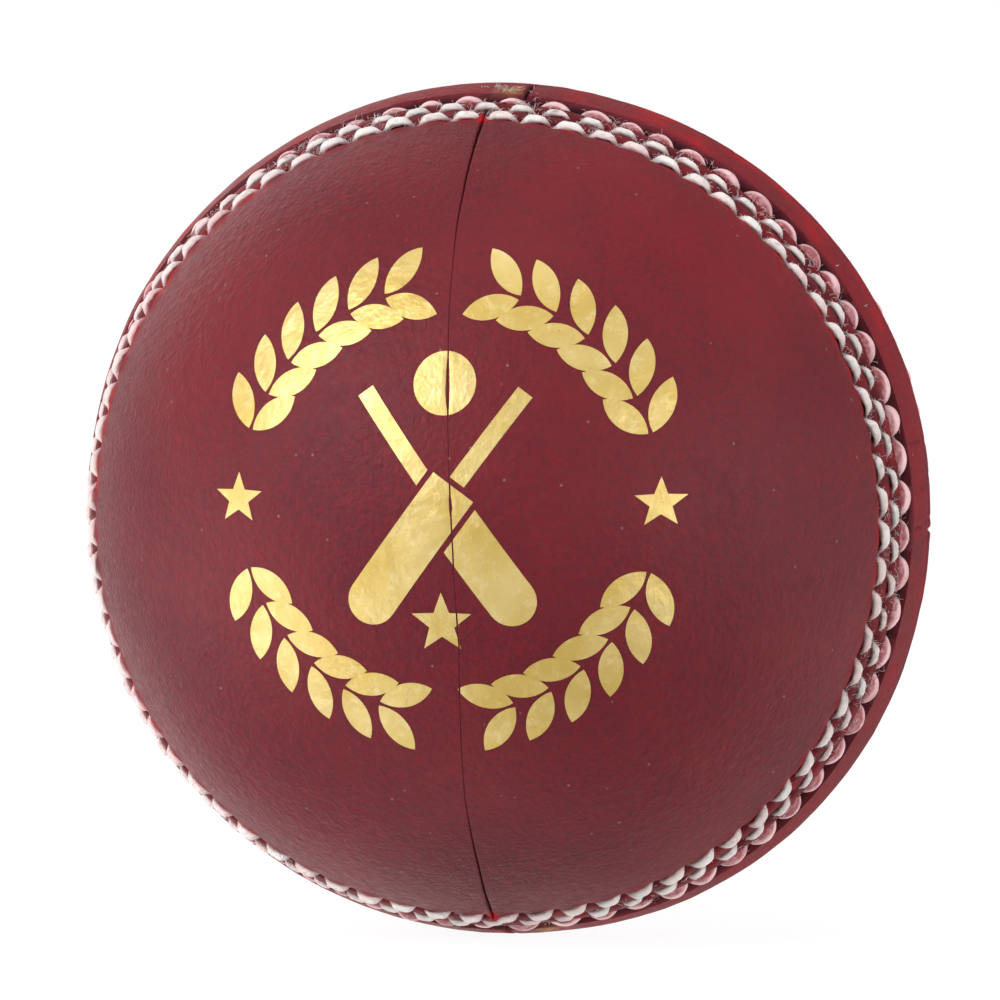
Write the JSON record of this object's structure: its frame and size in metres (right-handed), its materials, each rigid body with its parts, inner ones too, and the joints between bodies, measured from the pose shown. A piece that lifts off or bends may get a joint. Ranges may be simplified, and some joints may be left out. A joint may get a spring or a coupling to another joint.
{
  "type": "cricket ball",
  "caption": "Hard leather ball with a raised stitched seam around its middle, thrown, bowled and struck in cricket.",
  "frame": {"origin": "centre of the ball", "axes": "+Y along the seam's axis, with the stamped half towards -Y, and +Z along the stamped half's joint"},
  "size_m": [0.0726, 0.0719, 0.0726],
  "materials": {
    "nucleus": "moulded cork and rubber, matte",
    "yarn": "wound wool yarn",
    "cork": "raw cork strips",
    "cover_leather": "waxed red, with a soft gloss",
    "machine_thread": "white linen thread",
    "primary_thread": "thick waxed linen thread, stained pink",
    "quarter_thread": "fine linen thread",
    "foil": "pressed gold foil"
  },
  "bodies": {
    "root": {"core_nucleus": "nucleus", "inner_yarn_winding": "yarn", "inner_cork_strips": "cork", "middle_yarn_winding": "yarn", "outer_cork_strips": "cork", "outer_yarn_winding": "yarn", "front_left_leather": "cover_leather", "front_right_leather": "cover_leather", "back_upper_leather": "cover_leather", "back_lower_leather": "cover_leather", "front_quarter_seam_thread": "quarter_thread", "back_quarter_seam_thread": "quarter_thread", "primary_seam_thread": "primary_thread", "front_outer_row_thread": "machine_thread", "front_outer_row_bobbin": "machine_thread", "front_middle_row_thread": "machine_thread", "front_middle_row_bobbin": "machine_thread", "back_middle_row_thread": "machine_thread", "back_middle_row_bobbin": "machine_thread", "back_outer_row_thread": "machine_thread", "back_outer_row_bobbin": "machine_thread", "gold_foil_stamp": "foil"}
  },
  "joints": []
}
